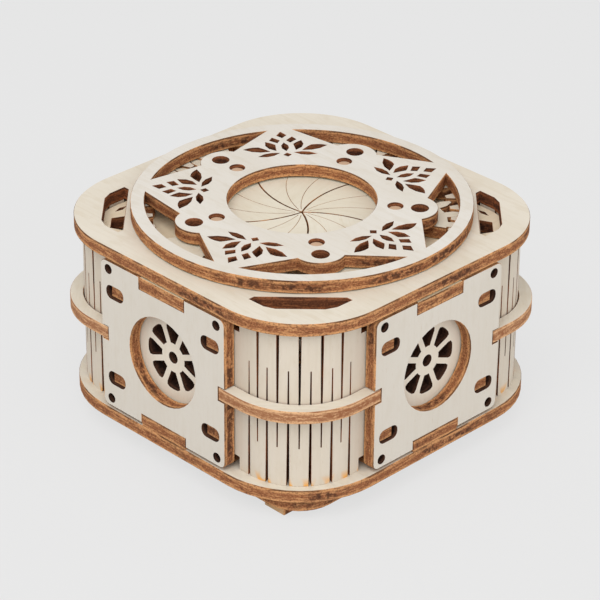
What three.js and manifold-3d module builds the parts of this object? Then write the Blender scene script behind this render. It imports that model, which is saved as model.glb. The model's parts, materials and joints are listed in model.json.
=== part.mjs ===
// Laser-cut plywood keepsake box with a hand-turned iris lid.
// Millimetres, +Z up, the origin under the middle of the box on the surface that it stands on.
// The star ring on top turns on the box and carries five petals on pins. Each petal's gear sector
// rolls in the toothed round opening of the lid plate, so that turning the ring opens all five.
import * as THREE from 'three';
import { mergeVertices } from 'three/addons/utils/BufferGeometryUtils.js';
import Module from 'manifold-3d';

const wasm = await Module();
wasm.setup();

// Driving dimensions of the whole box
const boxWidth = 85;
const ply = 3;
const fitGap = 0.25;
const cutOverrun = 1;
const sideCount = 4;

// Stack of heights
const footDrop = 2.5;
const wallHeight = 38.25;
const lidGap = 0.5;
const ringGap = 0.25;

// Under-plate and feet
const underInset = 4.5;
const underCornerRadius = 9.5;
const footWidth = 6;
const footSide = 14;
const footInset = 8;

// Side panels, whose width is a share of the box's and whose window is a share of their own
const panelShare = 0.4647;
const windowShare = 0.2696;
const panelCornerRadius = 1.5;
const panelDrop = 0.75;
const tabWidth = 14;
const pegHoleRadius = 1.1;
const pegHoleInset = 2.5;
const pegHoleDrop = 2;
const slotWidth = 5.5;
const slotGap = 0.1;
const slotInset = 4.5;
const slotDrop = 7.5;
const slotCornerRadius = 1.4;

// Rosettes behind the windows
const rosetteLap = 1.75;
const rosetteRim = 2.65;
const rosetteHubRadius = 3.7;
const rosetteHoleRadius = 1.35;
const rosetteSpokeWidth = 1.6;
const rosetteRounding = 1;
const rosetteSpokes = 8;

// Bent corner panels, their formers inside and their bands outside
const bendStart = 4.25;
const bendFlange = 5.75;
const bendNotch = 2.75;
const slitOpenWidth = 0.6;
const slitClosedWidth = 0.2;
const slitShare = 0.75;
const slitPitchAngle = THREE.MathUtils.degToRad(18);
const topSlits = 5;
const formerTabWidth = 3.6;
const formerTabSink = 0.8;
const formerLip = 1.25;
const formerDepth = 6;
const cornerLip = 3.5;
const bandTab = 1.75;

// Frames inside the walls
const lowerFrameWidth = 10.5;
const lowerOpeningRadius = 12;
const frameVentInset = 3.2;
const frameVentDepth = 2.75;
const frameVentWide = 6.5;
const frameVentNarrow = 4.5;
const leafVentLength = 3.4;
const leafVentWidth = 1;
const leafVentStep = 1;
const leafVentGap = 3.65;
const leafVentAngle = THREE.MathUtils.degToRad(-50);

// Gear of the iris
const gearInset = 7.5;
const petalTeeth = 16;
const openingTeeth = 40;
const sectorTeeth = 4;
const rootGap = 0.45;
const backlash = 0.7;
const pressureAngle = THREE.MathUtils.degToRad(20);
const flankSteps = 2;

// Petals; the neck joins the hub to the blade, in shares of the pins' distance from the middle
const petalCount = 5;
const arcReach = 4;
const arcStartAngle = THREE.MathUtils.degToRad(10.5);
const kerf = 0.35;
const bladeLap = 0.95;
const hubWall = 1.75;
const neckShares = { radius: 0.2143, back: 0.1905, side: 0.119 };
const sectorStartAngle = THREE.MathUtils.degToRad(-8.5);

// Turning rings and pins
const ringInset = 4.2;
const rimWidth = 3.1;
const eyeInset = 4.2;
const eyeStep = 0.4;
const spacerWall = 2.25;
const retainerLap = 5.75;
const pinRadius = 1.5;
const pinSink = 0.75;

// Star cut-outs of the top ring, outwards from the pins
const starGapHalfAngle = THREE.MathUtils.degToRad(31);
const starEdgeReach = 5.6;
const lobeReach = 3.6;
const lobeRadius = 5.95;
const lobeHoleRadius = 1.95;
const lobeHoleReach = 5.5;

// Lotus cut-outs: each point is along the flower, across it and the bulge of the side that follows,
// and the places are shares of the flower's length
const lotusInset = 0.2;
const lotusMargin = 1.1;
const lotusSingleShares = [
  [[0.756, 0, 0], [0.858, -0.087, 0], [1, 0, 0], [0.858, 0.087, 0]],
  [[0.228, 0, 0.2], [0.551, 0, 0.2]],
  [[0, 0, 0], [0.071, -0.069, 0], [0.142, 0, 0], [0.071, 0.069, 0]],
];
const lotusPairShares = [
  [[0.559, 0.118, 0], [0.654, 0.063, 0], [0.78, 0.181, 0], [0.669, 0.244, 0]],
  [[0.252, 0.181, 0], [0.488, 0.169, 0.04], [0.614, 0.323, 0.2]],
  [[0.228, 0.295, 0.03], [0.417, 0.48, 0.1], [0.362, 0.752, 0.13]],
  [[0.15, 0.134, 0.15], [0.047, 0.52, 0.17]],
];

// Corner slots of the lid, along the corner's diagonal and across it
const lidSlotInset = 6.6;
const lidSlotDepth = 5;
const lidSlotStep = 1;
const lidSlotNearHalf = 9.8;
const lidSlotShoulderHalf = 10.85;
const lidSlotBendHalf = 7.7;
const lidSlotFarHalf = 5.25;

// Heights worked out from the stack
const underBottom = footDrop;
const baseBottom = underBottom + ply;
const floor = baseBottom + ply;
const lowerFrameTop = floor + ply;
const lidBottom = floor + wallHeight;
const lidTop = lidBottom + ply;
const upperFrameTop = lidBottom - lidGap;
const upperFrameBottom = upperFrameTop - ply;
const petalBottom = upperFrameTop + ringGap;
const ringBottom = lidTop + ringGap;
const ringTop = ringBottom + ply;
const retainerTop = upperFrameBottom - ringGap;
const panelBottom = floor + panelDrop;
const panelHeight = upperFrameTop - panelBottom;
const panelMiddle = panelBottom + panelHeight / 2;
const pegHoleUp = panelHeight / 2 - pegHoleDrop;
const slotUp = panelHeight / 2 - slotDrop;
const slitLength = wallHeight * slitShare;

// Places worked out for the walls and plates
const quarterTurn = Math.PI / 2;
const halfBox = boxWidth / 2;
const wallInside = halfBox - ply;
const panelWidth = boxWidth * panelShare;
const halfPanel = panelWidth / 2;
const windowRadius = panelWidth * windowShare;
const pegHoleAcross = halfPanel - pegHoleInset;
const slotAcross = halfPanel - slotInset;
const rosetteRadius = windowRadius + rosetteLap;
const rosetteOpeningRadius = windowRadius - rosetteRim;
const bendCentre = halfPanel + bendStart;
const bendRadius = wallInside - fitGap - bendCentre;
const formerReach = slotAcross - formerTabWidth / 2 - formerLip;
const boxCornerRadius = halfBox - bendCentre + cornerLip;
const bandRadius = halfBox - bendCentre;
const underWidth = boxWidth - 2 * underInset;
const footAlong = halfBox - footSide;
const footAcross = halfBox - footInset;
const lowerOpeningWidth = 2 * (wallInside - lowerFrameWidth);
const frameCorner = bendCentre * Math.SQRT2 + bendRadius - ply - fitGap;
const frameVentFar = frameCorner - frameVentInset;
const frameVentNear = frameVentFar - frameVentDepth;
const leafVentOut = frameVentNear + leafVentStep;
const leafVentSide = frameVentWide / 2 + leafVentGap;
const lidCorner = (halfBox - boxCornerRadius) * Math.SQRT2 + boxCornerRadius;
const lidSlotFar = lidCorner - lidSlotInset;
const lidSlotNear = lidSlotFar - lidSlotDepth;

// Places worked out for the iris
const openingPitchRadius = halfBox - gearInset;
const toothModule = 2 * openingPitchRadius / openingTeeth;
const addendum = toothModule;
const dedendum = toothModule + rootGap;
const petalPitchRadius = toothModule * petalTeeth / 2;
const pinDistance = openingPitchRadius - petalPitchRadius;
const petalStep = 2 * Math.PI / petalCount;
const firstPinAngle = petalStep / 2;
const holeRadius = pinRadius + fitGap;
const hubRadius = pinRadius + hubWall;
const arcRadius = pinDistance + arcReach;
const eyeRadius = pinDistance - eyeInset;
const bladeRadius = eyeRadius + bladeLap;
const neckRadius = pinDistance * neckShares.radius;
const neckBack = pinDistance * neckShares.back;
const neckSide = pinDistance * neckShares.side;
const ringRadius = halfBox - ringInset;
const rimInnerRadius = ringRadius - rimWidth;
const spacerInnerRadius = eyeRadius + eyeStep;
const spacerOuterRadius = pinDistance + spacerWall;
const retainerRadius = spacerOuterRadius + retainerLap;
const starEdgeDistance = pinDistance + starEdgeReach;
const lobeCentre = pinDistance + lobeReach;
const lobeHoleDistance = pinDistance + lobeHoleReach;
const lotusStart = pinDistance + lotusInset;
const lotusLength = rimInnerRadius - lotusMargin - lotusStart;

const paleFace = 0xe3d6bf;
const warmFace = 0xe0cfae;

const root = new THREE.Group();

function solidOf(geometry) {
  const bare = geometry.clone();
  bare.deleteAttribute('normal');
  bare.deleteAttribute('uv');
  const merged = mergeVertices(bare);
  return new wasm.Manifold(new wasm.Mesh({
    numProp: 3,
    vertProperties: Float32Array.from(merged.attributes.position.array),
    triVerts: Uint32Array.from(merged.index.array),
  }));
}

function geometryOf(solid) {
  const mesh = solid.getMesh();
  const geometry = new THREE.BufferGeometry();
  geometry.setAttribute('position', new THREE.BufferAttribute(mesh.vertProperties, 3));
  geometry.setIndex(new THREE.BufferAttribute(mesh.triVerts, 1));
  geometry.computeVertexNormals();
  return geometry;
}

function addMesh(name, geometry, color, parent = root) {
  const material = new THREE.MeshStandardMaterial({ color, roughness: 0.75, metalness: 0 });
  const mesh = new THREE.Mesh(geometry, material);
  mesh.name = name;
  parent.add(mesh);
  return mesh;
}

function sideGroup(index) {
  const group = new THREE.Group();
  group.rotation.z = index * quarterTurn;
  root.add(group);
  return group;
}

// Flat shapes

function point(radius, angle) {
  return new THREE.Vector2(radius * Math.cos(angle), radius * Math.sin(angle));
}

function circle(x, y, radius) {
  const path = new THREE.Shape();
  path.absarc(x, y, radius, 0, 2 * Math.PI, false);
  return path;
}

function roundedBox(width, height, radius, x = 0, y = 0) {
  const right = x + width / 2 - radius;
  const left = x - width / 2 + radius;
  const top = y + height / 2 - radius;
  const bottom = y - height / 2 + radius;
  const path = new THREE.Shape();
  path.absarc(right, bottom, radius, -quarterTurn, 0, false);
  path.absarc(right, top, radius, 0, quarterTurn, false);
  path.absarc(left, top, radius, quarterTurn, 2 * quarterTurn, false);
  path.absarc(left, bottom, radius, 2 * quarterTurn, 3 * quarterTurn, false);
  path.closePath();
  return path;
}

function turned(points, angle) {
  const middle = new THREE.Vector2();
  return points.map((place) => place.clone().rotateAround(middle, angle));
}

function plate(shape, bottom, thickness, steps) {
  const settings = { depth: thickness, bevelEnabled: false, curveSegments: steps };
  const geometry = new THREE.ExtrudeGeometry(shape, settings);
  geometry.translate(0, 0, bottom);
  return geometry;
}

function openShape(outline, holes, steps) {
  const shape = new THREE.Shape(outline.getPoints(steps));
  shape.holes = holes;
  return shape;
}

// Gear teeth: half of a tooth's angle at a radius, for an involute flank

function involute(angle) {
  return Math.tan(angle) - angle;
}

function halfToothAngle(teeth, thickness, radius) {
  const pitchRadius = toothModule * teeth / 2;
  const baseRadius = pitchRadius * Math.cos(pressureAngle);
  const flankAngle = radius > baseRadius ? Math.acos(baseRadius / radius) : 0;
  return thickness / (2 * pitchRadius) + involute(pressureAngle) - involute(flankAngle);
}

function toothPoints(teeth, thickness, rootRadius, tipRadius, middleAngle) {
  const rising = [];
  const falling = [];
  for (let step = 0; step <= flankSteps; step += 1) {
    const radius = rootRadius + (tipRadius - rootRadius) * step / flankSteps;
    const half = halfToothAngle(teeth, thickness, radius);
    rising.push(point(radius, middleAngle - half));
    falling.unshift(point(radius, middleAngle + half));
  }
  return [...rising, ...falling];
}

// Base, under-plate, feet

function makeBase() {
  const outline = roundedBox(boxWidth, boxWidth, boxCornerRadius);
  addMesh('base_plate', plate(outline, baseBottom, ply, 6), paleFace);

  const footSlots = [];
  for (let side = 0; side < sideCount; side += 1) {
    const slot = roundedBox(footWidth + 2 * fitGap, ply + 2 * fitGap, fitGap, footAlong, -footAcross);
    footSlots.push(new THREE.Path(turned(slot.getPoints(1), side * quarterTurn)));
  }
  const under = openShape(roundedBox(underWidth, underWidth, underCornerRadius), footSlots, 4);
  addMesh('under_plate', plate(under, underBottom, ply, 1), paleFace);

  for (let side = 0; side < sideCount; side += 1) {
    const foot = new THREE.BoxGeometry(footWidth, ply, baseBottom);
    foot.translate(footAlong, -footAcross, baseBottom / 2);
    addMesh(`foot_${side + 1}`, foot, warmFace, sideGroup(side));
  }
}

// Frames that the walls lock onto

function frameOutline() {
  const inner = wallInside - fitGap;
  const behindBend = bendCentre - bendFlange - fitGap;
  const bendInside = bendCentre + bendRadius - ply - fitGap;
  const cornerArc = new THREE.Path();
  cornerArc.absarc(bendCentre, -bendCentre, bendInside - bendCentre, -quarterTurn, 0, false);
  const side = [
    new THREE.Vector2(-behindBend, -inner),
    new THREE.Vector2(-tabWidth / 2, -inner),
    new THREE.Vector2(-tabWidth / 2, -halfBox),
    new THREE.Vector2(tabWidth / 2, -halfBox),
    new THREE.Vector2(tabWidth / 2, -inner),
    new THREE.Vector2(behindBend, -inner),
    new THREE.Vector2(behindBend, -bendInside),
    ...cornerArc.getPoints(5),
    new THREE.Vector2(bendInside, -behindBend),
  ];
  const outline = [];
  for (let turn = 0; turn < sideCount; turn += 1) {
    outline.push(...turned(side, turn * quarterTurn));
  }
  return new THREE.Path(outline);
}

function cornerVents() {
  const wide = [
    new THREE.Vector2(frameVentNear, -frameVentWide / 2),
    new THREE.Vector2(frameVentFar, -frameVentNarrow / 2),
    new THREE.Vector2(frameVentFar, frameVentNarrow / 2),
    new THREE.Vector2(frameVentNear, frameVentWide / 2),
  ];
  const leaf = [
    new THREE.Vector2(-leafVentLength / 2, 0),
    new THREE.Vector2(0, -leafVentWidth / 2),
    new THREE.Vector2(leafVentLength / 2, 0),
    new THREE.Vector2(0, leafVentWidth / 2),
  ];
  const leafPlace = new THREE.Vector2(leafVentOut, leafVentSide);
  const left = turned(leaf, leafVentAngle).map((place) => place.add(leafPlace));
  const right = left.map((place) => new THREE.Vector2(place.x, -place.y)).reverse();
  return [wide, left, right];
}

function makeFrames() {
  const lowerOpening = roundedBox(lowerOpeningWidth, lowerOpeningWidth, lowerOpeningRadius);
  const lower = openShape(frameOutline(), [new THREE.Path(lowerOpening.getPoints(5))], 1);
  addMesh('lower_frame', plate(lower, floor, ply, 1), paleFace);

  const ringSeat = new THREE.Path(circle(0, 0, spacerOuterRadius + fitGap).getPoints(24));
  const vents = [];
  for (let corner = 0; corner < sideCount; corner += 1) {
    const angle = (corner + 1 / 2) * quarterTurn;
    vents.push(...cornerVents().map((vent) => new THREE.Path(turned(vent, angle))));
  }
  const upper = openShape(frameOutline(), [ringSeat, ...vents], 1);
  addMesh('upper_frame', plate(upper, upperFrameBottom, ply, 1), paleFace);
}

// Side walls, drawn flat with their middle at the window and stood up on their lower edge

function panelOutline() {
  const top = panelHeight / 2;
  const notchBottom = upperFrameBottom - panelMiddle;
  const notchTop = lowerFrameTop - panelMiddle;
  const notchHalf = tabWidth / 2 + fitGap;
  const bandHalf = ply / 2 + fitGap;
  const bandNotch = halfPanel - bandTab - fitGap;
  const cornerAcross = halfPanel - panelCornerRadius;
  const cornerUp = top - panelCornerRadius;
  const outline = new THREE.Path();
  outline.moveTo(notchHalf, -top);
  outline.lineTo(cornerAcross, -top);
  outline.absarc(cornerAcross, -cornerUp, panelCornerRadius, -quarterTurn, 0, false);
  outline.lineTo(halfPanel, -bandHalf);
  outline.lineTo(bandNotch, -bandHalf);
  outline.lineTo(bandNotch, bandHalf);
  outline.lineTo(halfPanel, bandHalf);
  outline.absarc(cornerAcross, cornerUp, panelCornerRadius, 0, quarterTurn, false);
  outline.lineTo(notchHalf, top);
  outline.lineTo(notchHalf, notchBottom);
  const right = outline.getPoints(2);
  const left = right.map((place) => new THREE.Vector2(-place.x, place.y)).reverse();
  const lowerNotch = [new THREE.Vector2(-notchHalf, notchTop), new THREE.Vector2(notchHalf, notchTop)];
  return new THREE.Path([...right, ...left, ...lowerNotch]);
}

function panelShape() {
  const holes = [new THREE.Path(circle(0, 0, windowRadius).getPoints(18))];
  for (const across of [-1, 1]) {
    for (const up of [-1, 1]) {
      const hole = circle(across * pegHoleAcross, up * pegHoleUp, pegHoleRadius);
      holes.push(new THREE.Path(hole.getPoints(8)));
      const slotHeight = ply + 2 * slotGap;
      const slot = roundedBox(slotWidth, slotHeight, slotCornerRadius, across * slotAcross, up * slotUp);
      holes.push(new THREE.Path(slot.getPoints(2)));
    }
  }
  return openShape(panelOutline(), holes, 1);
}

function rosetteShape() {
  const holes = [new THREE.Path(circle(0, 0, rosetteHoleRadius).getPoints(8))];
  const step = 2 * Math.PI / rosetteSpokes;
  const innerHalf = step / 2 - rosetteSpokeWidth / (2 * rosetteHubRadius);
  const outerHalf = step / 2 - rosetteSpokeWidth / (2 * rosetteOpeningRadius);
  const roundedRadius = rosetteOpeningRadius - rosetteRounding;
  const roundedHalf = outerHalf - rosetteRounding / rosetteOpeningRadius;
  const sideHalf = step / 2 - rosetteSpokeWidth / (2 * roundedRadius);
  for (let index = 0; index < rosetteSpokes; index += 1) {
    const middle = index * step;
    const lowCorner = point(rosetteOpeningRadius, middle - outerHalf);
    const highCorner = point(rosetteOpeningRadius, middle + outerHalf);
    const lowArcEnd = point(rosetteOpeningRadius, middle - roundedHalf);
    const lowSide = point(roundedRadius, middle - sideHalf);
    const highSide = point(roundedRadius, middle + sideHalf);
    const opening = new THREE.Path();
    opening.moveTo(lowSide.x, lowSide.y);
    opening.quadraticCurveTo(lowCorner.x, lowCorner.y, lowArcEnd.x, lowArcEnd.y);
    opening.absarc(0, 0, rosetteOpeningRadius, middle - roundedHalf, middle + roundedHalf, false);
    opening.quadraticCurveTo(highCorner.x, highCorner.y, highSide.x, highSide.y);
    opening.absarc(0, 0, rosetteHubRadius, middle + innerHalf, middle - innerHalf, true);
    opening.closePath();
    holes.push(new THREE.Path(opening.getPoints(2)));
  }
  return openShape(circle(0, 0, rosetteRadius), holes, 10);
}

function makeWalls() {
  const panel = plate(panelShape(), 0, ply, 1);
  const rosette = plate(rosetteShape(), 0, ply, 1);
  for (let side = 0; side < sideCount; side += 1) {
    const group = sideGroup(side);
    const wall = addMesh(`side_panel_${side + 1}`, panel, paleFace, group);
    wall.rotation.x = quarterTurn;
    wall.position.set(0, -wallInside, panelMiddle);
    const disc = addMesh(`window_rosette_${side + 1}`, rosette, paleFace, group);
    disc.rotation.x = quarterTurn;
    disc.position.set(0, fitGap - (wallInside - ply), panelMiddle);
  }
}

// Bent corners with their slits, formers and bands

function bendPath(outerRadius, innerRadius, end) {
  const path = new THREE.Shape();
  path.moveTo(end, -bendCentre - outerRadius);
  path.lineTo(bendCentre, -bendCentre - outerRadius);
  path.absarc(bendCentre, -bendCentre, outerRadius, -quarterTurn, 0, false);
  path.lineTo(bendCentre + outerRadius, -end);
  path.lineTo(bendCentre + innerRadius, -end);
  path.absarc(bendCentre, -bendCentre, innerRadius, 0, -quarterTurn, true);
  path.lineTo(end, -bendCentre - innerRadius);
  path.closePath();
  return path;
}

function bendCutter(outline, angle) {
  const depth = ply + 2 * cutOverrun;
  const cutter = plate(new THREE.Shape(outline), -depth / 2, depth, 1);
  cutter.rotateX(quarterTurn);
  cutter.rotateZ(quarterTurn);
  cutter.translate(bendRadius - ply / 2, 0, 0);
  cutter.rotateZ(angle);
  cutter.translate(bendCentre, -bendCentre, 0);
  return solidOf(cutter);
}

function slit(angle, openEnd, closedEnd) {
  const outline = [
    new THREE.Vector2(-slitOpenWidth / 2, openEnd),
    new THREE.Vector2(-slitClosedWidth / 2, closedEnd),
    new THREE.Vector2(slitClosedWidth / 2, closedEnd),
    new THREE.Vector2(slitOpenWidth / 2, openEnd),
  ];
  return bendCutter(outline, angle);
}

// The ends of a bent panel are notched where it passes the two frames

function frameNotch(angle, side, bottom, top) {
  const outside = side * (bendFlange + cutOverrun);
  const inside = side * (bendFlange - bendNotch);
  const outline = [
    new THREE.Vector2(inside, bottom),
    new THREE.Vector2(outside, bottom),
    new THREE.Vector2(outside, top),
    new THREE.Vector2(inside, top),
  ];
  return bendCutter(outline, angle);
}

function bentPanel() {
  const end = bendCentre - bendFlange;
  const middle = -quarterTurn / 2;
  const below = floor - cutOverrun;
  const above = lidBottom + cutOverrun;
  let solid = solidOf(plate(bendPath(bendRadius, bendRadius - ply, end), floor, wallHeight, 12));
  for (let index = 0; index < topSlits; index += 1) {
    const angle = middle + (index - (topSlits - 1) / 2) * slitPitchAngle;
    solid = solid.subtract(slit(angle, above, lidBottom - slitLength));
  }
  for (let index = 0; index <= topSlits; index += 1) {
    const angle = middle + (index - topSlits / 2) * slitPitchAngle;
    solid = solid.subtract(slit(angle, below, floor + slitLength));
  }
  for (const [angle, side] of [[-quarterTurn, -1], [0, 1]]) {
    solid = solid.subtract(frameNotch(angle, side, below, lowerFrameTop + fitGap));
    solid = solid.subtract(frameNotch(angle, side, upperFrameBottom - fitGap, above));
  }
  return geometryOf(solid);
}

function formerShape() {
  const bendInside = bendRadius - ply - fitGap;
  const face = wallInside - fitGap;
  const behindBend = bendCentre - bendFlange - fitGap;
  const tabStart = slotAcross - formerTabWidth / 2;
  const tabEnd = slotAcross + formerTabWidth / 2;
  const tabFace = halfBox - formerTabSink;
  const side = [
    new THREE.Vector2(formerReach, -face + formerDepth),
    new THREE.Vector2(formerReach, -face),
    new THREE.Vector2(tabStart, -face),
    new THREE.Vector2(tabStart, -tabFace),
    new THREE.Vector2(tabEnd, -tabFace),
    new THREE.Vector2(tabEnd, -face),
    new THREE.Vector2(behindBend, -face),
    new THREE.Vector2(behindBend, -bendCentre - bendInside),
  ];
  const arc = new THREE.Path();
  arc.absarc(bendCentre, -bendCentre, bendInside, -quarterTurn, 0, false);
  const mirrored = side.map((place) => new THREE.Vector2(-place.y, -place.x)).reverse();
  return new THREE.Shape([...side, ...arc.getPoints(5), ...mirrored]);
}

function bandShape() {
  const tabEnd = halfPanel - bandTab;
  const shape = new THREE.Shape();
  shape.moveTo(tabEnd, -halfBox);
  shape.lineTo(bendCentre, -halfBox);
  shape.absarc(bendCentre, -bendCentre, bandRadius, -quarterTurn, 0, false);
  shape.lineTo(halfBox, -tabEnd);
  shape.lineTo(wallInside, -tabEnd);
  shape.absarc(bendCentre, -bendCentre, wallInside - bendCentre, 0, -quarterTurn, true);
  shape.lineTo(tabEnd, -wallInside);
  shape.closePath();
  return shape;
}

function makeCorners() {
  const bent = bentPanel();
  const band = plate(bandShape(), panelMiddle - ply / 2, ply, 10);
  const lowerFormer = plate(formerShape(), panelMiddle - slotUp - ply / 2, ply, 1);
  const upperFormer = plate(formerShape(), panelMiddle + slotUp - ply / 2, ply, 1);
  for (let corner = 0; corner < sideCount; corner += 1) {
    const group = sideGroup(corner);
    addMesh(`bent_corner_${corner + 1}`, bent, paleFace, group);
    addMesh(`corner_band_${corner + 1}`, band, paleFace, group);
    addMesh(`lower_former_${corner + 1}`, lowerFormer, warmFace, group);
    addMesh(`upper_former_${corner + 1}`, upperFormer, warmFace, group);
  }
}

// Lid plate with the toothed opening

function lidSlot(angle) {
  const half = [
    new THREE.Vector2(lidSlotNear, lidSlotNearHalf),
    new THREE.Vector2(lidSlotNear + lidSlotStep, lidSlotShoulderHalf),
    new THREE.Vector2(lidSlotFar - lidSlotStep, lidSlotBendHalf),
    new THREE.Vector2(lidSlotFar, lidSlotFarHalf),
  ];
  const mirrored = half.map((place) => new THREE.Vector2(place.x, -place.y)).reverse();
  return new THREE.Path(turned([...half, ...mirrored], angle));
}

function makeLid() {
  const spaceWidth = Math.PI * toothModule / 2 + backlash / 2;
  const toothedOpening = [];
  for (let index = 0; index < openingTeeth; index += 1) {
    const middle = firstPinAngle + index * 2 * Math.PI / openingTeeth;
    const inner = openingPitchRadius - addendum;
    const outer = openingPitchRadius + dedendum;
    toothedOpening.push(...toothPoints(openingTeeth, spaceWidth, inner, outer, middle));
  }
  const holes = [new THREE.Path(toothedOpening)];
  for (let corner = 0; corner < sideCount; corner += 1) {
    holes.push(lidSlot((corner + 1 / 2) * quarterTurn));
  }
  const shape = openShape(roundedBox(boxWidth, boxWidth, boxCornerRadius), holes, 12);
  addMesh('lid_plate', plate(shape, lidBottom, ply, 1), paleFace);
}

// Petals, drawn for the pin that lies on +X and turned to their places

function sectorShape() {
  const toothWidth = Math.PI * toothModule / 2 - backlash / 2;
  const rootRadius = petalPitchRadius - dedendum;
  const tipRadius = petalPitchRadius + addendum;
  const pitchAngle = 2 * Math.PI / petalTeeth;
  const outline = [new THREE.Vector2(), point(rootRadius, sectorStartAngle)];
  for (let index = 0; index < sectorTeeth; index += 1) {
    outline.push(...toothPoints(petalTeeth, toothWidth, rootRadius, tipRadius, index * pitchAngle));
  }
  outline.push(point(rootRadius, (sectorTeeth - 1) * pitchAngle - sectorStartAngle));
  return new THREE.Shape(outline);
}

function petalSolid() {
  const arcCentre = point(arcRadius, arcStartAngle - quarterTurn);
  const nextCentre = arcCentre.clone().rotateAround(new THREE.Vector2(), petalStep);
  const blade = solidOf(plate(circle(0, 0, bladeRadius), petalBottom, ply, 28));
  const inside = circle(nextCentre.x, nextCentre.y, arcRadius - kerf / 2);
  const outside = circle(arcCentre.x, arcCentre.y, arcRadius + kerf / 2);
  const overHeight = ply + 2 * cutOverrun;
  const cutBottom = petalBottom - cutOverrun;
  const nearSide = solidOf(plate(inside, cutBottom, overHeight, 36));
  const farSide = solidOf(plate(outside, cutBottom, overHeight, 36));
  const hub = solidOf(plate(circle(pinDistance, 0, hubRadius), petalBottom, ply, 10));
  const neckPlace = circle(pinDistance - neckBack, neckSide, neckRadius);
  const neck = solidOf(plate(neckPlace, petalBottom, ply, 10));
  const sector = plate(sectorShape(), petalBottom, ply, 1);
  sector.translate(pinDistance, 0, 0);
  const body = blade.intersect(nearSide).subtract(farSide).add(hub).add(neck).add(solidOf(sector));
  const pinHole = solidOf(plate(circle(pinDistance, 0, holeRadius), cutBottom, overHeight, 8));
  return body.subtract(pinHole);
}

function makePetals() {
  const geometry = geometryOf(petalSolid());
  for (let index = 0; index < petalCount; index += 1) {
    const petal = addMesh(`petal_${index + 1}`, geometry, warmFace);
    petal.rotation.z = firstPinAngle + index * petalStep;
  }
}

// Star ring on top

function meetsLobe() {
  const rimPoint = point(rimInnerRadius, starGapHalfAngle);
  const edge = rimPoint.clone().sub(new THREE.Vector2(starEdgeDistance, 0)).normalize();
  const offset = starEdgeDistance - lobeCentre;
  const along = -offset * edge.x + Math.sqrt(lobeRadius ** 2 - (offset * edge.y) ** 2);
  return edge.multiplyScalar(along).add(new THREE.Vector2(starEdgeDistance, 0));
}

function starGap(angle) {
  const cusp = meetsLobe();
  const cuspAngle = Math.atan2(cusp.y, cusp.x - lobeCentre);
  const gap = new THREE.Path();
  gap.absarc(0, 0, rimInnerRadius, -starGapHalfAngle, starGapHalfAngle, false);
  gap.absarc(lobeCentre, 0, lobeRadius, cuspAngle, -cuspAngle, true);
  gap.closePath();
  return new THREE.Path(turned(gap.getPoints(7), angle));
}

function lotusPath(piece, side, angle) {
  const corners = piece.map(([along, across, bulge]) => ({
    place: new THREE.Vector2(lotusStart + along * lotusLength, side * across * lotusLength),
    bulge,
  }));
  const path = new THREE.Path();
  path.moveTo(corners[0].place.x, corners[0].place.y);
  corners.forEach(({ place, bulge }, index) => {
    const next = corners[(index + 1) % corners.length].place;
    const edge = next.clone().sub(place);
    const control = place.clone().add(next).multiplyScalar(1 / 2);
    control.x += 2 * side * bulge * edge.y;
    control.y -= 2 * side * bulge * edge.x;
    if (bulge > 0) {
      path.quadraticCurveTo(control.x, control.y, next.x, next.y);
    } else {
      path.lineTo(next.x, next.y);
    }
  });
  return new THREE.Path(turned(path.getPoints(3), angle));
}

function lotus(angle) {
  const cuts = lotusSingleShares.map((piece) => lotusPath(piece, 1, angle));
  for (const side of [-1, 1]) {
    cuts.push(...lotusPairShares.map((piece) => lotusPath(piece, side, angle)));
  }
  return cuts;
}

function makeStarRing() {
  const holes = [new THREE.Path(circle(0, 0, eyeRadius).getPoints(32))];
  for (let index = 0; index < petalCount; index += 1) {
    const pinAngle = firstPinAngle + index * petalStep;
    const pinPlace = point(pinDistance, pinAngle);
    const lobePlace = point(lobeHoleDistance, pinAngle);
    holes.push(starGap(pinAngle));
    holes.push(new THREE.Path(circle(pinPlace.x, pinPlace.y, holeRadius).getPoints(9)));
    holes.push(new THREE.Path(circle(lobePlace.x, lobePlace.y, lobeHoleRadius).getPoints(9)));
    holes.push(...lotus(index * petalStep));
  }
  const shape = openShape(circle(0, 0, ringRadius), holes, 34);
  addMesh('star_ring', plate(shape, ringBottom, ply, 1), paleFace);
}

// Rings below the petals, which hold the star ring down, and the pins through them

function pinHoles() {
  const holes = [];
  for (let index = 0; index < petalCount; index += 1) {
    const place = point(pinDistance, firstPinAngle + index * petalStep);
    holes.push(new THREE.Path(circle(place.x, place.y, holeRadius).getPoints(6)));
  }
  return holes;
}

function makeCarrier() {
  const eye = () => new THREE.Path(circle(0, 0, spacerInnerRadius).getPoints(14));
  const spacer = openShape(circle(0, 0, spacerOuterRadius), [eye(), ...pinHoles()], 16);
  addMesh('spacer_ring', plate(spacer, upperFrameBottom - ringGap, ply + ringGap, 1), paleFace);
  const retainer = openShape(circle(0, 0, retainerRadius), [eye(), ...pinHoles()], 16);
  addMesh('retainer_ring', plate(retainer, retainerTop - ply, ply, 1), paleFace);
  for (let index = 0; index < petalCount; index += 1) {
    const place = point(pinDistance, firstPinAngle + index * petalStep);
    const bottom = retainerTop - ply;
    const pin = plate(circle(place.x, place.y, pinRadius), bottom, ringTop - pinSink - bottom, 8);
    addMesh(`petal_pin_${index + 1}`, pin, warmFace);
  }
}

makeBase();
makeFrames();
makeWalls();
makeCorners();
makeLid();
makePetals();
makeStarRing();
makeCarrier();

export default root;
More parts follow.
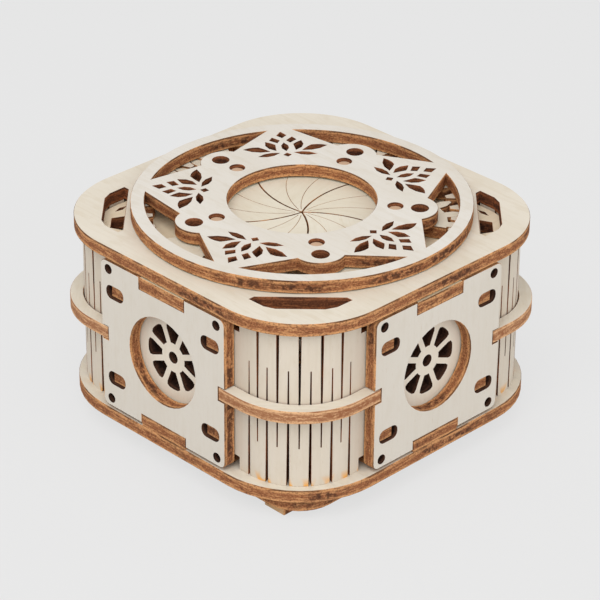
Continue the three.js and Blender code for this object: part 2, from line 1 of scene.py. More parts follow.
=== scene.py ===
# %% [markdown]
# # A laser-cut keepsake box with an iris lid
#
# The real object is a small box that is cut from 3 mm plywood by a laser and pushed together:
# flat plates, side panels with round windows, corners that bend because they are slit, and a lid
# whose five petals open like a camera's iris when the star ring on top is turned.
# The engineering model gives every board its true outline and place. This lesson gives each board
# what a saw-sharp model lacks: softened arrises, engraved lines, pale faces with a faint grain and
# edges that the laser has scorched brown. It starts by loading the model as a fixed frame.

# %% Load the boards
import json
import math

import bmesh
import bpy
from mathutils import Matrix, Vector

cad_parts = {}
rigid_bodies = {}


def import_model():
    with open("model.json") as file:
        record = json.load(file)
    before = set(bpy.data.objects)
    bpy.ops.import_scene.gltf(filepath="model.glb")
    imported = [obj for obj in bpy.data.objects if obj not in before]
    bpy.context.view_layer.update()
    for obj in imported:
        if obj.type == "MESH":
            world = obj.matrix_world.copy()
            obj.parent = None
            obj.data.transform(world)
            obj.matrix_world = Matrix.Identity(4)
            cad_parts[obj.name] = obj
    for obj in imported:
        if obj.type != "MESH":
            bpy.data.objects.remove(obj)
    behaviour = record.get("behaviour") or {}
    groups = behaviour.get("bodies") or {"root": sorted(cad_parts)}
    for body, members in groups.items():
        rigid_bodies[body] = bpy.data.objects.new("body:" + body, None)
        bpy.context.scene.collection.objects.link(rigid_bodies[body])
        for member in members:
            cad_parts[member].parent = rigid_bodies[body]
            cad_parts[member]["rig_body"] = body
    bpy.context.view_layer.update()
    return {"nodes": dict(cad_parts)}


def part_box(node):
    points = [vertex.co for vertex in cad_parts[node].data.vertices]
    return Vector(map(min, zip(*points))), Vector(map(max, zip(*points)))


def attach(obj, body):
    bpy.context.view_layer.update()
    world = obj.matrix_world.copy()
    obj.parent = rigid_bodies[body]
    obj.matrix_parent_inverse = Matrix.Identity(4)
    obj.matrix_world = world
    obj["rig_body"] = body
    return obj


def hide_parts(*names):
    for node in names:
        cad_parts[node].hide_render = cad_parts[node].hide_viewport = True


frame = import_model()
cad_nodes = frame["nodes"]
mm = 0.001

# %% [markdown]
# ## The camera
#
# A camera that stands in the photograph's place makes the render comparable with it. The lens is
# long, so the box shows almost no perspective. Azimuth and elevation say where the camera stands,
# and the roll and the small shift set the picture as the photograph is framed. The camera could
# also be turned by a constraint, but plain vectors keep every number in sight.

# %% Set up the camera
camera_azimuth = 45.13
camera_elevation = 29.29
camera_roll = 0.554
camera_distance = 630.0 * mm
aim_height = 27.19 * mm
nearest_seen = 10 * mm
farthest_seen = 20.0
sensor_width = 36.0
picture_width = 600
focal_pixels = 2769.0
picture_right = 1.06
picture_down = -0.83


def look_direction(azimuth, elevation):
    """Unit vector from the object to a viewer."""
    turn = math.radians(azimuth)
    rise = math.radians(elevation)
    return Vector((math.sin(turn) * math.cos(rise), -math.cos(turn) * math.cos(rise), math.sin(rise)))


camera_data = bpy.data.cameras.new("photo_camera")
camera_data.sensor_width = sensor_width
camera_data.lens = focal_pixels / picture_width * sensor_width
camera_data.shift_x = -picture_right / picture_width
camera_data.shift_y = picture_down / picture_width
camera_data.clip_start = nearest_seen
camera_data.clip_end = farthest_seen
camera = bpy.data.objects.new("photo_camera", camera_data)
bpy.context.scene.collection.objects.link(camera)
backwards = look_direction(camera_azimuth, camera_elevation)
turn_to_object = (-backwards).to_track_quat("-Z", "Y").to_matrix().to_4x4()
roll = Matrix.Rotation(math.radians(camera_roll), 4, "Z")
place = Matrix.Translation(backwards * camera_distance + Vector((0, 0, aim_height)))
camera.matrix_world = place @ turn_to_object @ roll
bpy.context.scene.camera = camera
print("lens:", round(camera_data.lens, 1), "mm")

# %% [markdown]
# ## The studio lights
#
# The photograph is a plain product shot: soft light from all round, a little stronger from above
# the viewer, on an even light grey ground. A bright world gives the even light, and two large area
# lamps give the slight direction. One sun lamp would be simpler, but its shadows are too crisp.
# Where the camera looks past the box, the world shows the ground's grey and not its own light.

# %% Light the scene
ground_grey = (0.807, 0.807, 0.807, 1)
white = (1, 1, 1, 1)
world_strength = 0.66
lamp_distance = 900 * mm
lamp_width = 700 * mm


def add(tree, kind, values=(), **settings):
    """A shader node: sockets in values are linked, plain values are set on the node's inputs."""
    made = tree.nodes.new(kind)
    for key, value in settings.items():
        setattr(made, key, value)
    for key, value in dict(values).items():
        if isinstance(value, bpy.types.NodeSocket):
            tree.links.new(value, made.inputs[key])
        else:
            made.inputs[key].default_value = value
    return made


def seen_directly(tree):
    """1 where the camera looks, also by way of a mirror or of glass, and 0 for the light itself."""
    rays = add(tree, "ShaderNodeLightPath").outputs
    sight = rays["Is Camera Ray"]
    for kind in ("Is Glossy Ray", "Is Transmission Ray"):
        sight = add(tree, "ShaderNodeMath", {0: sight, 1: rays[kind]}, operation="MAXIMUM").outputs[0]
    return sight


def area_lamp(name, azimuth, elevation, power):
    """A round lamp that looks at the box. The angles are in degrees and the power is in watts."""
    lamp = bpy.data.lights.new(name, "AREA")
    lamp.shape = "DISK"
    lamp.size = lamp_width
    lamp.energy = power
    holder = bpy.data.objects.new(name, lamp)
    bpy.context.scene.collection.objects.link(holder)
    towards = look_direction(azimuth, elevation)
    holder.location = towards * lamp_distance + Vector((0, 0, aim_height))
    holder.rotation_euler = (-towards).to_track_quat("-Z", "Y").to_euler()


area_lamp("key_lamp", azimuth=28, elevation=55, power=4.4)
area_lamp("fill_lamp", azimuth=88, elevation=25, power=1.4)

world = bpy.data.worlds.new("studio_world")
world.use_nodes = True
sky = world.node_tree
sky.nodes.clear()
lighting = add(sky, "ShaderNodeBackground", {"Color": white, "Strength": world_strength})
backdrop = add(sky, "ShaderNodeBackground", {"Color": ground_grey})
choice = add(
    sky,
    "ShaderNodeMixShader",
    {0: seen_directly(sky), 1: lighting.outputs[0], 2: backdrop.outputs[0]},
)
add(sky, "ShaderNodeOutputWorld", {"Surface": choice.outputs[0]})
bpy.context.scene.world = world
bpy.context.scene.view_settings.view_transform = "Standard"
print("lamps:", len(bpy.data.lights))

# %% [markdown]
# ## Plywood in two finishes
#
# Laser-cut plywood shows two very different surfaces: pale faces and burnt cut edges. An image
# could carry both, but a procedural pattern is sharp at any distance. Both patterns read an
# attribute named board, which is stored on each mesh: its first number runs along the grain, the
# second across it and the third through the thickness, so the grain follows bent boards and
# turned ones alike. The helpers here stretch a noise along those directions, cut a range out of
# it and mix colours by it.

# %% Helpers for materials
mix_first, mix_second, mix_result = 6, 7, 2


def start_material(name, roughness, specular):
    """A new material with its tree and its surface shader."""
    made = bpy.data.materials.new(name)
    made.use_nodes = True
    shader = made.node_tree.nodes["Principled BSDF"]
    shader.inputs["Roughness"].default_value = roughness
    shader.inputs["Specular IOR Level"].default_value = specular
    return made, made.node_tree, shader


def board_place(tree):
    """Where a point lies on its board."""
    return add(tree, "ShaderNodeAttribute", attribute_name="board").outputs["Vector"]


def stretched_noise(tree, coordinate, per_metre, detail):
    """Noise whose features are one over per_metre long in each direction of the coordinate."""
    scaled = add(tree, "ShaderNodeVectorMath", {0: coordinate, 1: per_metre}, operation="MULTIPLY")
    made = add(tree, "ShaderNodeTexNoise", {"Vector": scaled.outputs[0], "Scale": 1.0, "Detail": detail})
    return made.outputs["Fac"]


def between(tree, value, low, high):
    """0 at low, 1 at high, smooth between them. High may be the lower of the two."""
    made = add(
        tree,
        "ShaderNodeMapRange",
        {"Value": value, "From Min": low, "From Max": high},
        interpolation_type="SMOOTHSTEP",
    )
    return made.outputs[0]


def product(tree, first, second):
    """Two numbers multiplied."""
    return add(tree, "ShaderNodeMath", {0: first, 1: second}, operation="MULTIPLY").outputs[0]


def mix(tree, share, first, second, strength=1.0):
    """Colour first turning into second where share rises to 1, as far as strength."""
    made = add(tree, "ShaderNodeMix", {"Factor": product(tree, share, strength)}, data_type="RGBA")
    for socket, value in ((made.inputs[mix_first], first), (made.inputs[mix_second], second)):
        if isinstance(value, bpy.types.NodeSocket):
            tree.links.new(value, socket)
        else:
            socket.default_value = value
    return made.outputs[mix_result]


def finish_shader(tree, shader, colour, height, strength, depth):
    """Gives the surface shader its colour and a bump from a pattern."""
    tree.links.new(colour, shader.inputs["Base Color"])
    bump = add(tree, "ShaderNodeBump", {"Strength": strength, "Distance": depth, "Height": height})
    tree.links.new(bump.outputs[0], shader.inputs["Normal"])


# %% [markdown]
# ## Wood of the faces
#
# The faces are a pale wood with a grain so faint that it shows only as soft clouds, thin streaks
# and a few short flecks. A wave texture would draw regular rings, so four stretched noises are
# laid over each other instead. At the feet of the bent corners the laser's heat has tinted the
# strips orange. That tint also depends on the height, which the Object coordinates give.

# %% Make the face woods
face_roughness = 0.62
face_specular = 0.25
tan_shares = (0.88, 0.84, 0.77)
fleck_wood = (0.50, 0.36, 0.22, 1)
fleck_strength = 0.18
grain_bump = 0.2
grain_depth = 0.02 * mm
scorch_tint = (0.82, 0.38, 0.06, 1)
scorch_height = 2.2 * mm
scorch_per_metre = (150, 420, 60)
scorch_range = (0.5, 0.6)

# Features per metre along the grain, across it and through the board, the noise's detail, and the
# range of the noise in which the second colour comes in.
face_patterns = {
    "cloud": ((28, 75, 75), 2.0, (0.35, 0.7)),
    "blotch": ((170, 420, 300), 2.0, (0.5, 0.68)),
    "streak": ((55, 1500, 300), 3.0, (0.45, 0.75)),
    "fleck": ((520, 3600, 600), 1.0, (0.66, 0.76)),
}


def darker(colour, shares):
    """A colour with each channel taken down to a share."""
    return (*(channel * share for channel, share in zip(colour, shares)), 1)


def near_the_cut(tree, board, low, high):
    """Patches between two heights where the laser's heat has tinted the wood."""
    spot = stretched_noise(tree, board, scorch_per_metre, 1.0)
    place_seen = add(tree, "ShaderNodeTexCoord").outputs["Object"]
    height = add(tree, "ShaderNodeSeparateXYZ", {0: place_seen}).outputs[2]
    rising = add(tree, "ShaderNodeMapRange", {"Value": height, "From Min": high, "From Max": low})
    return product(tree, rising.outputs[0], between(tree, spot, *scorch_range))


def face_wood(name, pale, variation=0.4, scorched=None):
    """Pale ply face. scorched holds two heights between which the laser's heat has tinted it."""
    made, tree, shader = start_material(name, face_roughness, face_specular)
    board = board_place(tree)
    noises = {}
    shares = {}
    for kind, (per_metre, detail, levels) in face_patterns.items():
        noises[kind] = stretched_noise(tree, board, per_metre, detail)
        shares[kind] = between(tree, noises[kind], *levels)
    colour = pale
    for kind in ("cloud", "blotch", "streak"):
        colour = mix(tree, shares[kind], colour, darker(pale, tan_shares), variation)
    colour = mix(tree, shares["fleck"], colour, fleck_wood, fleck_strength)
    if scorched is not None:
        colour = mix(tree, near_the_cut(tree, board, *scorched), colour, scorch_tint)
    finish_shader(tree, shader, colour, noises["streak"], grain_bump, grain_depth)
    return made


box_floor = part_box("base_plate")[1].z
foot_of_strips = (box_floor, box_floor + scorch_height)
plate_face = face_wood("plate_ply_face", (0.71, 0.65, 0.55, 1))
wall_face = face_wood("panel_ply_face", (0.68, 0.63, 0.555, 1), 0.15)
# Painted light: the rosettes' faces are paler than the panels' so that they look lit inside the shade of
# the window's recess.
rosette_face_painted_light = face_wood("rosette_ply_face_painted_light", (0.78, 0.71, 0.60, 1), 0.2)
star_face = face_wood("star_ply_face", (0.70, 0.66, 0.60, 1))
bent_face = face_wood("bent_ply_face", (0.68, 0.605, 0.505, 1), 0.25, foot_of_strips)
petal_face = face_wood("petal_ply_face", (0.73, 0.675, 0.56, 1))
# Painted light: the upper frame and the spacer ring get paler, warmer faces than the other plates so
# that they look lit where they lie in the shade under the lid and the star ring.
inner_face_painted_light = face_wood("inner_ply_face_painted_light", (0.86, 0.73, 0.54, 1))
foot_face = face_wood("foot_ply_face", (0.68, 0.43, 0.23, 1))
pin_face = face_wood("pin_wood_end", (0.60, 0.41, 0.28, 1))
print("nodes in a face wood:", len(plate_face.node_tree.nodes))

# %% [markdown]
# ## Scorch of the cut edges
#
# The laser burns the edge brown, and almost black in long patches. The burn is deepest in a core
# near the middle of the thickness and lighter towards the faces, and fine ridges run from face to
# face. A gradient through the thickness would look too straight, so a slow noise makes the core
# sway. The same pattern in darker colours gives the walls of small holes, as char and as painted
# shade for the inside of a narrow hole, and a pale one the engraved lines.

# %% Make the scorched edges
edge_roughness = 0.8
edge_specular = 0.1
edge_bump = 0.4
ridge_depth = 0.05 * mm
core_height = 1.4 * mm
core_sway = 1.1 * mm
half_sway = core_sway / 2
skin_starts, skin_full = 0.45 * mm, 1.25 * mm
core_ends, core_full = 1.2 * mm, 0.5 * mm
rim_starts, rim_full = 0.25 * mm, 0.05 * mm
rim_sway_range = (0.4, 0.58)
rim_strength = 0.75
stretch_range = (0.49, 0.6)
mottle_range = (0.4, 0.6)
tan_char = (0.65, 0.325, 0.14, 1)
brown_char = (0.29, 0.11, 0.047, 1)
dark_char = (0.05, 0.022, 0.015, 1)

# Features per metre along the grain, across it and through the board, and the noise's detail.
edge_patterns = {
    "stretch": ((45, 45, 45), 1.0),
    "sway": ((130, 130, 130), 2.0),
    "streaks": ((330, 330, 3000), 2.0),
    "mottle": ((900, 900, 900), 3.0),
    "grit": ((2300, 2300, 3200), 2.0),
}

# Which noise brings in which tone, in which range of the noise and how strongly.
edge_layers = (
    ("streaks", (0.52, 0.66), "brown", 0.8),
    ("streaks", (0.47, 0.35), "light", 0.7),
    ("grit", (0.52, 0.64), "dark", 0.5),
    ("grit", (0.44, 0.34), "light", 0.4),
)


def cut_edge(name, light, brown, dark, char):
    """Burnt edge of a board: light near its two faces, a darker core and char in long patches."""
    made, tree, shader = start_material(name, edge_roughness, edge_specular)
    board = board_place(tree)
    noises = {}
    for kind, (per_metre, detail) in edge_patterns.items():
        noises[kind] = stretched_noise(tree, board, per_metre, detail)
    depth = add(tree, "ShaderNodeSeparateXYZ", {0: board}).outputs[2]
    from_core = add(tree, "ShaderNodeMath", {0: depth, 1: core_height}, operation="SUBTRACT")
    distance = add(tree, "ShaderNodeMath", {0: from_core.outputs[0]}, operation="ABSOLUTE").outputs[0]
    swaying = add(
        tree,
        "ShaderNodeMath",
        {0: noises["sway"], 1: core_sway, 2: distance},
        operation="MULTIPLY_ADD",
    ).outputs[0]
    skin = between(tree, swaying, half_sway + skin_starts, half_sway + skin_full)
    core = between(tree, swaying, half_sway + core_ends, half_sway + core_full)
    tones = {"light": light, "brown": brown, "dark": dark}
    colour = mix(tree, skin, brown, light)
    for kind, levels, tone, strength in edge_layers:
        colour = mix(tree, between(tree, noises[kind], *levels), colour, tones[tone], strength)
    stretch = between(tree, noises["stretch"], *stretch_range)
    patch = product(tree, stretch, between(tree, noises["mottle"], *mottle_range))
    colour = mix(tree, product(tree, patch, core), colour, dark, char)
    # A dark line along both arrises of an edge: partly the laser's burn and partly painted shade,
    # standing in for the thin shadow line along an edge's lower arris.
    rim = between(tree, distance, core_height - rim_starts, core_height - rim_full)
    burnt_and_shaded_rim = product(tree, rim, between(tree, noises["sway"], *rim_sway_range))
    colour = mix(tree, burnt_and_shaded_rim, colour, dark, rim_strength)
    finish_shader(tree, shader, colour, noises["mottle"], edge_bump, ridge_depth)
    return made


scorched_edge = cut_edge("scorched_cut_edge", tan_char, brown_char, dark_char, 0.8)
light_scorch = cut_edge(
    "lightly_scorched_edge",
    (0.74, 0.44, 0.235, 1),
    (0.36, 0.165, 0.08, 1),
    brown_char,
    0.8,
)
# Walls of small holes and of the bent corners' slits: char, darkened further as painted shade for the
# inside of a narrow opening.
charred_and_shaded_hole = cut_edge(
    "charred_and_shaded_hole_edge",
    (0.33, 0.12, 0.05, 1),
    (0.13, 0.046, 0.022, 1),
    dark_char,
    0.9,
)
# Walls of the standing boards' small holes: char, darkened almost to black as painted shade for the
# inside of a narrow hole.
blackened_and_shaded_hole = cut_edge(
    "blackened_and_shaded_hole_edge",
    (0.10, 0.045, 0.026, 1),
    dark_char,
    (0.02, 0.012, 0.009, 1),
    0.9,
)
engraved_line = cut_edge(
    "engraved_line",
    (0.60, 0.43, 0.25, 1),
    (0.50, 0.33, 0.17, 1),
    brown_char,
    0.25,
)
print("nodes in a scorched edge:", len(scorched_edge.node_tree.nodes))

# %% [markdown]
# ## A board's mesh and its directions
#
# Each board starts as a copy of its model mesh, whose loose triangles are merged. A layout turns a
# place in the box into a place on the board, for the attribute that the finishes read. Unwrapping
# would give flat coordinates too, but without the thickness that the edges need.

# %% Helpers that read a board
merge_distance = 0.002 * mm
up = Vector((0, 0, 1))
quarter = math.pi / 2


def flat_layout(grain, through, start):
    """Board coordinates of a flat board: along the grain, across it and through its thickness."""
    across = through.cross(grain)

    def layout(point):
        return Vector((point.dot(grain), point.dot(across), point.dot(through) - start))

    return layout


def lying(node, angle):
    """Layout of a board that lies flat, with its grain turned by an angle."""
    grain = Vector((math.cos(angle), math.sin(angle), 0))
    return flat_layout(grain, up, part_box(node)[0].z)


def merged_copy(name):
    """A bmesh of a model node with its doubles merged."""
    made = bmesh.new()
    made.from_mesh(cad_nodes[name].data)
    bmesh.ops.remove_doubles(made, verts=made.verts, dist=merge_distance)
    return made


# %% [markdown]
# ## Outlines and holes
#
# The laser turns more slowly in a small hole and burns its wall darker, and its darker wall is
# also painted shade, for the shade inside a narrow hole. So the flat faces are taken off, which
# leaves one ring of wall faces for the outline and one for each hole, and the length of a ring
# tells which it is. Picking faces by hand would have to be done again for each of the 46 boards.

# %% Helpers that sort a board's walls
flat_angle = math.radians(1)
face_limit = 0.95
small_hole = 62 * mm
face_finish, edge_finish, hole_finish, line_finish = range(4)


def open_flat_faces(made, through):
    """Takes the flat faces off and gives the edges of the open rims."""
    bmesh.ops.dissolve_limit(made, angle_limit=flat_angle, verts=made.verts, edges=made.edges)
    flat = [face for face in made.faces if abs(face.normal.dot(through)) > face_limit]
    bmesh.ops.delete(made, geom=flat, context="FACES")
    return [edge for edge in made.edges if edge.is_boundary]


def wall_rings(made):
    """The rings of wall faces, one for the outline and one for each hole."""
    waiting = set(made.faces)
    rings = []
    while waiting:
        ring = {waiting.pop()}
        growing = list(ring)
        while growing:
            near = {other for edge in growing.pop().edges for other in edge.link_faces} - ring
            ring |= near
            growing.extend(near)
        waiting -= ring
        rings.append(ring)
    return rings


def sort_walls(made, rim):
    """Gives the walls of small holes another finish than the outline and the large openings."""
    lengths = []
    for ring in wall_rings(made):
        length = sum(edge.calc_length() for edge in rim if edge.link_faces[0] in ring) / 2
        lengths.append((length, ring))
    outline_length = max(length for length, ring in lengths)
    for length, ring in lengths:
        finish = hole_finish if length < min(small_hole, outline_length) else edge_finish
        for face in ring:
            face.material_index = finish


# %% [markdown]
# ## Softened arrises
#
# A laser leaves crisp edges, but even these are broken by a hair when parts are pushed together. A
# bevel operator would do for a plain board, but on a pierced one it trips over the long thin
# triangles between the holes. So each open rim is extruded and drawn in by a hair, which makes the
# chamfer, and the flat faces are filled again with even triangles.

# %% Helpers that soften a board
crisp_arris = 0.09 * mm
fine_arris = 0.04 * mm
steepest_miter = 2.5


def draw_in(vertex, through, width):
    """How far a rim's corner moves inwards, so that both of its edges move by width."""
    normals = []
    for face in vertex.link_faces:
        normals.append((face.normal - through * face.normal.dot(through)).normalized())
    inwards = -(normals[0] + normals[-1])
    return inwards * width * min(2 / inwards.length_squared, steepest_miter / inwards.length)


def soften(made, through, width):
    """Gives a board chamfered arrises and clean flat faces."""
    shift = made.verts.layers.float_vector.new("shift")
    rim = open_flat_faces(made, through)
    sort_walls(made, rim)
    corners = {vertex for edge in rim for vertex in edge.verts}
    middle = sum((vertex.co.dot(through) for vertex in corners), 0.0) / len(corners)
    for vertex in corners:
        vertex[shift] = draw_in(vertex, through, width)
    extruded = bmesh.ops.extrude_edge_only(made, edges=rim)["geom"]
    for vertex in corners:
        side = 1 if vertex.co.dot(through) > middle else -1
        vertex.co -= through * side * width
    for vertex in (part for part in extruded if isinstance(part, bmesh.types.BMVert)):
        vertex.co += vertex[shift]
    made.verts.layers.float_vector.remove(shift)
    open_edges = [edge for edge in made.edges if edge.is_boundary]
    for side in (1, -1):
        ring = [edge for edge in open_edges if (edge.verts[0].co.dot(through) - middle) * side > 0]
        filled = bmesh.ops.triangle_fill(made, use_beauty=True, use_dissolve=False, edges=ring)
        for face in (part for part in filled["geom"] if isinstance(part, bmesh.types.BMFace)):
            face.material_index = face_finish
    bmesh.ops.recalc_face_normals(made, faces=made.faces)


# %% [markdown]
# ## From a mesh to a piece
#
# A finished mesh gets its materials and the board attribute, and then it stands for its model node
# and moves with that node's body. The copy also carries the model's stored normals, which no longer
# fit once the arrises are soft, so they are removed. Each piece's pattern is shifted by another
# amount, as if it were cut from another place on the sheet.

# %% Helpers that finish a piece
sharp_angle = math.radians(40)
shift_along = 0.137
shift_across = 0.071
pieces = {}


def finish_piece(name, made, layout, surfaces, seed, curved=False):
    """Turns a bmesh into a piece with its finishes and its board coordinates."""
    data = bpy.data.meshes.new(name)
    made.to_mesh(data)
    made.free()
    if data.has_custom_normals:
        data.attributes.remove(data.attributes["custom_normal"])
    data.set_sharp_from_angle(angle=sharp_angle)
    for face in data.polygons:
        face.use_smooth = curved or face.material_index != face_finish
    for surface in surfaces:
        data.materials.append(surface)
    stored = data.attributes.new("board", "FLOAT_VECTOR", "POINT")
    shift = Vector((shift_along * seed, shift_across * seed, 0))
    for vertex, value in zip(data.vertices, stored.data):
        value.vector = layout(vertex.co) + shift
    piece = bpy.data.objects.new(name, data)
    bpy.context.scene.collection.objects.link(piece)
    return piece


def put_in_place(piece, node):
    """The piece stands for its model node and moves with the node's body."""
    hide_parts(node)
    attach(piece, cad_nodes[node]["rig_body"])
    pieces[node] = piece


def dress(node, through, layout, surfaces, arris=crisp_arris):
    """Makes the piece of a flat board from its model node."""
    made = merged_copy(node)
    soften(made, through, arris)
    put_in_place(finish_piece(node + "_board", made, layout, surfaces, len(pieces) + 1), node)


# %% [markdown]
# ## Plates, frames and rings
#
# These boards lie flat. Their thickness runs upwards, and the grain runs whichever way they lay on
# the sheet of ply, so the table gives an angle for each. The bands and formers at the corners have
# theirs along the corner. One angle for all would be shorter, but the boards would look like one.

# %% Dress the boards that lie flat
corners_of_box = 4
petal_count = 5
pin_grain_step = 1.0

lying_boards = {
    "base_plate": (0, plate_face),
    "under_plate": (90, plate_face),
    "lower_frame": (0, plate_face),
    "upper_frame": (90, inner_face_painted_light),
    "lid_plate": (0, plate_face),
    "star_ring": (0, star_face),
    "spacer_ring": (35, inner_face_painted_light),
    "retainer_ring": (70, plate_face),
}
corner_boards = {
    "corner_band": light_scorch,
    "lower_former": scorched_edge,
    "upper_former": scorched_edge,
}

for node, (angle, wood) in lying_boards.items():
    dress(node, up, lying(node, math.radians(angle)), [wood, scorched_edge, charred_and_shaded_hole])
for side in range(corners_of_box):
    turn = side * quarter
    for kind, edge in corner_boards.items():
        node = f"{kind}_{side + 1}"
        dress(node, up, lying(node, turn + quarter / 2), [plate_face, edge])
for pin in range(petal_count):
    node = f"petal_pin_{pin + 1}"
    dress(node, up, lying(node, pin * pin_grain_step), [pin_face, scorched_edge], fine_arris)
print("flat boards:", len(pieces))

# %% [markdown]
# ## Standing boards
#
# Side panels, rosettes and feet stand upright, with their thickness along the box's side. Their
# grain runs up. They could be made lying and then turned, but the same helper dresses them where
# they stand, with another direction for the thickness.

# %% Dress the boards that stand
standing_boards = {
    "side_panel": wall_face,
    "window_rosette": rosette_face_painted_light,
    "foot": foot_face,
}

for side in range(corners_of_box):
    outwards = Matrix.Rotation(side * quarter, 3, "Z") @ Vector((0, -1, 0))
    for kind, wood in standing_boards.items():
        node = f"{kind}_{side + 1}"
        start = min(corner.dot(outwards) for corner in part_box(node))
        layout = flat_layout(up, outwards, start)
        dress(node, outwards, layout, [wood, scorched_edge, blackened_and_shaded_hole])
print("boards so far:", len(pieces))

# %% [markdown]
# ## Bent corners
#
# On the real box each corner is a flat board that bends only because slits let it. It is dressed
# the way it was made. The corner's mesh is unrolled flat, where the same helper gives it its
# arrises and faces, and then it is cut into fine strips with bisect_plane and bent again round the
# corner's axis. A bevel on the bent mesh would catch on the facets between the narrow slits.

# %% Dress the bent corners
bent_inner = 12.25 * mm
bend_axis = 24.0 * mm
bend_steps = 40
bend_length = bent_inner * quarter


def unrolled(local):
    """Board coordinates of a place on the corner that lies between +X and -Y."""
    x, y = local.x - bend_axis, local.y + bend_axis
    if x < 0:
        return Vector((local.z, -x, -y - bent_inner))
    if y > 0:
        return Vector((local.z, -bend_length - y, x - bent_inner))
    return Vector((local.z, -bent_inner * (math.atan2(y, x) + quarter), math.hypot(x, y) - bent_inner))


def rolled(board):
    """Turns board coordinates back into a place on that corner."""
    height, along, depth = board.x, -board.y, board.z
    radius = bent_inner + depth
    if along < 0:
        x, y = along, -radius
    elif along > bend_length:
        x, y = radius, along - bend_length
    else:
        angle = along / bent_inner - quarter
        x, y = radius * math.cos(angle), radius * math.sin(angle)
    return Vector((bend_axis + x, y - bend_axis, height))


def dress_bent_corner(side):
    """Unrolls a corner, dresses it flat and bends it again."""
    node = f"bent_corner_{side + 1}"
    to_first = Matrix.Rotation(-side * quarter, 3, "Z")
    made = merged_copy(node)
    for vertex in made.verts:
        vertex.co = unrolled(to_first @ vertex.co)
    made.normal_update()
    soften(made, up, fine_arris)
    for step in range(bend_steps + 1):
        bmesh.ops.bisect_plane(
            made,
            geom=made.verts[:] + made.edges[:] + made.faces[:],
            plane_co=Vector((0, -bend_length * step / bend_steps, 0)),
            plane_no=Vector((0, 1, 0)),
        )
    for vertex in made.verts:
        vertex.co = to_first.inverted() @ rolled(vertex.co)
    piece = finish_piece(
        node + "_board",
        made,
        lambda point: unrolled(to_first @ point),
        [bent_face, charred_and_shaded_hole, charred_and_shaded_hole],
        len(pieces) + 1,
        curved=True,
    )
    put_in_place(piece, node)


for side in range(corners_of_box):
    dress_bent_corner(side)
print("boards so far:", len(pieces))

# %% [markdown]
# ## Petals with engraved lines
#
# The laser also draws two fine lines on each petal, at low power, as arcs with the petal's own
# curve. A painted line would do for a far view, but the real one is a shallow groove, so a thin
# curved bar is spun round the arc's centre and taken out of the petal with a Boolean modifier.

# %% Make the petals
arc_radius = 25.0 * mm
arc_start = math.radians(10.5)
petal_step = math.radians(72)
engraved_steps = (math.radians(24), math.radians(48))
line_width = 0.15 * mm
line_depth = 0.12 * mm
line_from = 1.5 * mm
line_to = 18.5 * mm
line_segments = 24
petal_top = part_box("petal_1")[1].z


def angle_on_arc(distance):
    """Turn round the arc's centre from the middle of the iris to a distance from that middle."""
    return 2 * math.asin(distance / (2 * arc_radius))


def line_cutter(base_angle):
    """A thin bar along an arc through the middle of the iris, across the petal's top face."""
    centre = arc_radius * Vector((math.cos(base_angle - quarter), math.sin(base_angle - quarter), 0))
    made = bmesh.new()
    bmesh.ops.create_grid(made, x_segments=1, y_segments=1, size=0.5)
    bmesh.ops.scale(made, vec=(line_width, 2 * line_depth, 1), verts=made.verts)
    bmesh.ops.rotate(made, matrix=Matrix.Rotation(quarter, 3, "X"), verts=made.verts)
    bmesh.ops.rotate(made, matrix=Matrix.Rotation(base_angle - quarter, 3, "Z"), verts=made.verts)
    bmesh.ops.translate(made, vec=Vector((0, 0, petal_top)), verts=made.verts)
    first = Matrix.Rotation(-angle_on_arc(line_from), 3, "Z")
    bmesh.ops.rotate(made, cent=centre, matrix=first, verts=made.verts)
    bmesh.ops.spin(
        made,
        geom=made.verts[:] + made.edges[:] + made.faces[:],
        cent=centre,
        axis=up,
        angle=angle_on_arc(line_from) - angle_on_arc(line_to),
        steps=line_segments,
        use_merge=False,
    )
    bmesh.ops.recalc_face_normals(made, faces=made.faces)
    return made


def cut_away(made, cutter, surfaces):
    """Takes a cutter out of a bmesh with the exact Boolean and gives the result as a new bmesh."""
    holders = []
    for name, source in (("cut_body", made), ("cut_tool", cutter)):
        data = bpy.data.meshes.new(name)
        source.to_mesh(data)
        source.free()
        for surface in surfaces:
            data.materials.append(surface)
        holder = bpy.data.objects.new(name, data)
        bpy.context.scene.collection.objects.link(holder)
        holders.append(holder)
    body, tool = holders
    step = body.modifiers.new("cut", "BOOLEAN")
    step.operation = "DIFFERENCE"
    step.solver = "EXACT"
    step.object = tool
    result = bmesh.new()
    evaluated = body.evaluated_get(bpy.context.evaluated_depsgraph_get())
    result.from_mesh(evaluated.to_mesh())
    evaluated.to_mesh_clear()
    for holder in holders:
        data = holder.data
        bpy.data.objects.remove(holder)
        bpy.data.meshes.remove(data)
    return result


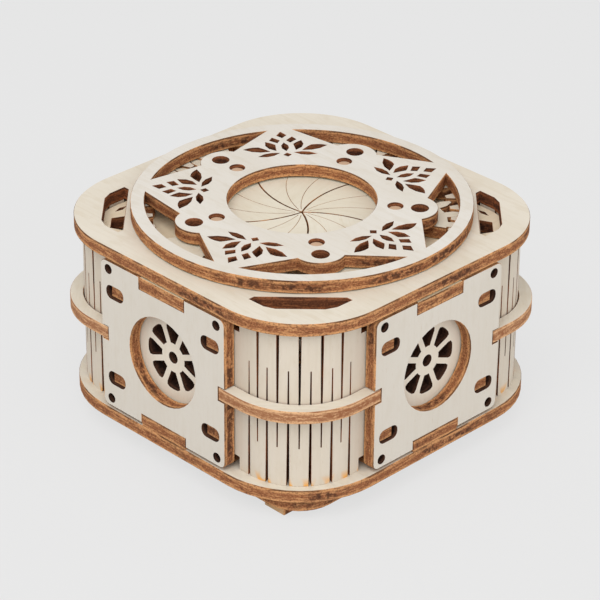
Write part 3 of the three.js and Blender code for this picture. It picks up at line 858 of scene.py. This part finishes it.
petal_surfaces = [petal_face, scorched_edge, charred_and_shaded_hole, engraved_line]
for index in range(petal_count):
    node = f"petal_{index + 1}"
    middle_angle = petal_step / 2 + index * petal_step
    made = merged_copy(node)
    soften(made, up, fine_arris)
    for engraved_step in engraved_steps:
        cutter = line_cutter(middle_angle + arc_start + engraved_step)
        for face in cutter.faces:
            face.material_index = line_finish
        made = cut_away(made, cutter, petal_surfaces)
    layout = lying(node, middle_angle)
    piece = finish_piece(node + "_board", made, layout, petal_surfaces, len(pieces) + 1)
    put_in_place(piece, node)
    print(node, "faces:", len(piece.data.polygons))

# %% [markdown]
# ## The floor
#
# The floor is a matt pale grey plane that takes the box's soft shadow and fades into a world of
# the same grey. The lamps make it a little lighter near the box, which the photograph's ground
# isn't. A shadow catcher would be another way, but it needs the render settings. So to the camera
# a part of the floor's colour is an even glow, and the rest still takes the shadow.

# %% Lay the floor
floor_half = 3000 * mm
floor_evenness = 0.85
floor_roughness = 0.9
floor_specular = 0.25
floor_paint = (0.72, 0.72, 0.72, 1)

floor_mesh = bmesh.new()
bmesh.ops.create_grid(floor_mesh, x_segments=1, y_segments=1, size=floor_half)
floor_data = bpy.data.meshes.new("studio_floor")
floor_mesh.to_mesh(floor_data)
floor_mesh.free()
floor = bpy.data.objects.new("studio_floor", floor_data)
bpy.context.scene.collection.objects.link(floor)

floor_material, floor_tree, floor_shader = start_material(
    "studio_floor_grey",
    floor_roughness,
    floor_specular,
)
floor_shader.inputs["Base Color"].default_value = floor_paint
even_grey = add(floor_tree, "ShaderNodeEmission", {"Color": ground_grey, "Strength": 1.0})
evenness = product(floor_tree, seen_directly(floor_tree), floor_evenness)
floor_mix = add(
    floor_tree,
    "ShaderNodeMixShader",
    {0: evenness, 1: floor_shader.outputs[0], 2: even_grey.outputs[0]},
)
floor_tree.links.new(floor_mix.outputs[0], floor_tree.nodes["Material Output"].inputs["Surface"])
floor.data.materials.append(floor_material)
print("floor:", round(2 * floor_half, 1), "m wide")

# %% [markdown]
# ## The last step
#
# The view layer is updated once more, so that every piece's place is current. Dressing a board
# must not change its size.

# %% Update the view layer
bpy.context.view_layer.update()
